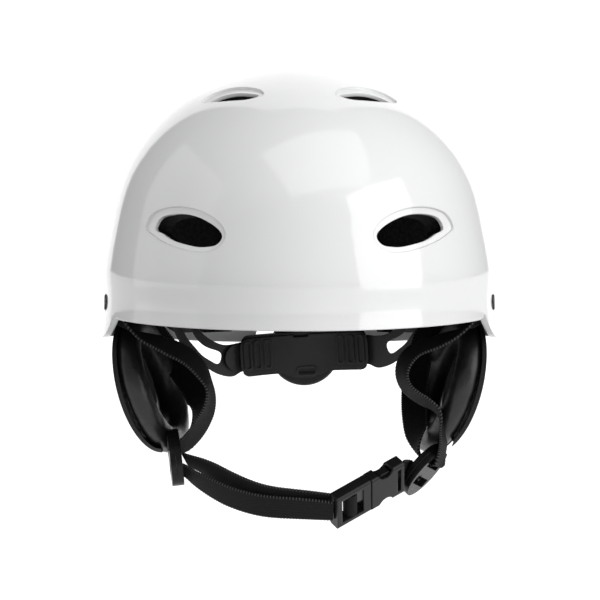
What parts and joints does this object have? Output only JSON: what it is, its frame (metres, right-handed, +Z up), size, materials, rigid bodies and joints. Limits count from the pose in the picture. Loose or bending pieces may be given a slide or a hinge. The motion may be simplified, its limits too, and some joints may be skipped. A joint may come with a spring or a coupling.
{
  "type": "ski helmet",
  "caption": "Glossy full-cut hard-shell helmet with vents, foam liner, ear pads, a dial-adjusted rear cradle and a buckled chin strap.",
  "frame": {"origin": "middle of the head opening, in the plane of the front brim, where the wearer's head enters", "axes": "+Z up towards the crown, the wearer looks along -Y, +X is the wearer's left"},
  "size_m": [0.22, 0.2741, 0.2491],
  "materials": {
    "shell_white": "glossy injection-moulded ABS",
    "rivet_black": "satin black",
    "foam_grey": "moulded bead foam, matte",
    "pad_black": "knitted cloth over soft foam",
    "cradle_grey": "fine satin nylon",
    "dial_grey": "fine satin nylon",
    "steel_dark": "dark plated",
    "ear_cover_black": "grained matte",
    "leatherette_black": "soft-sheen leatherette",
    "ear_foam_grey": "open-cell acoustic foam",
    "webbing_black": "woven polyester, ribbed edges",
    "slider_black": "satin gloss",
    "buckle_black": "gloss acetal"
  },
  "bodies": {
    "shell": {"outer_shell": "shell_white", "rivets_front": "rivet_black", "rivets_rear": "rivet_black", "liner_crown": "foam_grey", "liner_front": "foam_grey", "liner_rear": "foam_grey", "liner_left": "foam_grey", "liner_right": "foam_grey", "brow_pad": "pad_black", "nape_pad": "pad_black", "crown_pad": "pad_black", "side_pad_left": "pad_black", "side_pad_right": "pad_black", "pivot_pin_left": "cradle_grey", "pivot_pin_right": "cradle_grey", "ear_hinge_pin_left": "steel_dark", "ear_hinge_pin_right": "steel_dark", "ear_bracket_left": "ear_cover_black", "ear_bracket_right": "ear_cover_black", "strap_front_left": "webbing_black", "strap_front_right": "webbing_black", "strap_rear_left": "webbing_black", "strap_rear_right": "webbing_black", "chin_strap": "webbing_black", "chin_strap_tail": "webbing_black", "strap_buckle_short": "webbing_black", "buckle_socket": "buckle_black"},
    "cradle": {"cradle_arm_left": "cradle_grey", "cradle_arm_right": "cradle_grey"},
    "housing": {"housing_inner": "cradle_grey", "housing_cover": "cradle_grey", "dial_screw": "steel_dark"},
    "band_left": {"band_rack_left": "cradle_grey"},
    "band_right": {"band_rack_right": "cradle_grey"},
    "dial": {"dial_knob": "dial_grey", "dial_pinion": "dial_grey"},
    "ear_pad_left": {"ear_cover_left": "ear_cover_black", "ear_cushion_left": "leatherette_black", "ear_foam_left": "ear_foam_grey"},
    "ear_pad_right": {"ear_cover_right": "ear_cover_black", "ear_cushion_right": "leatherette_black", "ear_foam_right": "ear_foam_grey"},
    "slider_left": {"slider_inner_left": "slider_black", "slider_outer_left": "slider_black"},
    "slider_right": {"slider_inner_right": "slider_black", "slider_outer_right": "slider_black"},
    "plug": {"buckle_plug": "buckle_black", "webbing_loop": "webbing_black"},
    "prong_upper": {"buckle_prong_upper": "buckle_black"},
    "prong_lower": {"buckle_prong_lower": "buckle_black"}
  },
  "joints": [
    {"name": "cradle_tilt", "type": "hinge", "parent": "shell", "child": "cradle", "pos_m": [-0.00098, 0.035, 0.02788], "axis": [0.998, 0, 0.0628], "range_deg": [-4, 4]},
    {"name": "cradle_tighten", "type": "slide", "parent": "cradle", "child": "housing", "axis": [0, -1, 0], "range_m": [0, 0.008], "deforming": ["cradle_arm_left", "cradle_arm_right"]},
    {"name": "band_left_travel", "type": "hinge", "parent": "housing", "child": "band_left", "pos_m": [0.0028, 0.034, -0.0322], "axis": [-0.0628, 0, 0.998], "range_deg": [0, 6.5]},
    {"name": "band_right_travel", "type": "hinge", "parent": "housing", "child": "band_right", "pos_m": [0.0028, 0.034, -0.0322], "axis": [-0.0628, 0, 0.998], "range_deg": [-6.5, 0]},
    {"name": "dial_spin", "type": "hinge", "parent": "housing", "child": "dial", "pos_m": [0.0028, 0.12, -0.0322], "axis": [0, 1, 0], "range_deg": [-95, 0]},
    {"name": "ear_pad_left_swing", "type": "hinge", "parent": "shell", "child": "ear_pad_left", "pos_m": [0.0975, 0, 0.0018], "axis": [0, -1, 0], "range_deg": [0, 4], "deforming": ["strap_front_left", "strap_rear_left"]},
    {"name": "ear_pad_right_swing", "type": "hinge", "parent": "shell", "child": "ear_pad_right", "pos_m": [-0.0975, 0, 0.0018], "axis": [0, 1, 0], "range_deg": [0, 4], "deforming": ["strap_front_right", "strap_rear_right"]},
    {"name": "slider_left_travel", "type": "slide", "parent": "shell", "child": "slider_left", "axis": [0.65, 0, 0.76], "range_m": [0, 0.006], "deforming": ["strap_front_left", "strap_rear_left", "strap_buckle_short"]},
    {"name": "slider_right_travel", "type": "slide", "parent": "shell", "child": "slider_right", "axis": [0.1394, -0.4977, -0.8561], "range_m": [0, 0.012], "deforming": ["strap_front_right", "strap_rear_right", "chin_strap", "chin_strap_tail"]},
    {"name": "buckle_release", "type": "slide", "parent": "shell", "child": "plug", "axis": [-0.8016, -0.4609, -0.3808], "range_m": [0, 0.025], "deforming": ["chin_strap", "chin_strap_tail"]},
    {"name": "prong_upper_squeeze", "type": "hinge", "parent": "plug", "child": "prong_upper", "pos_m": [0.03804, -0.05078, -0.08662], "axis": [-0.5973, 0.6438, 0.4783], "range_deg": [0, 6], "stiffness_Nm_per_rad": 0.05},
    {"name": "prong_lower_squeeze", "type": "hinge", "parent": "plug", "child": "prong_lower", "pos_m": [0.03845, -0.04076, -0.0996], "axis": [0.5973, -0.6438, -0.4783], "range_deg": [0, 6]}
  ],
  "couplings": [
    {"joint": "band_left_travel", "follows": "cradle_tighten", "rad_per_m": 13.459},
    {"joint": "band_right_travel", "follows": "cradle_tighten", "rad_per_m": -13.123},
    {"joint": "dial_spin", "follows": "cradle_tighten", "rad_per_m": -200},
    {"joint": "prong_lower_squeeze", "follows": "prong_upper_squeeze", "ratio": 1}
  ]
}
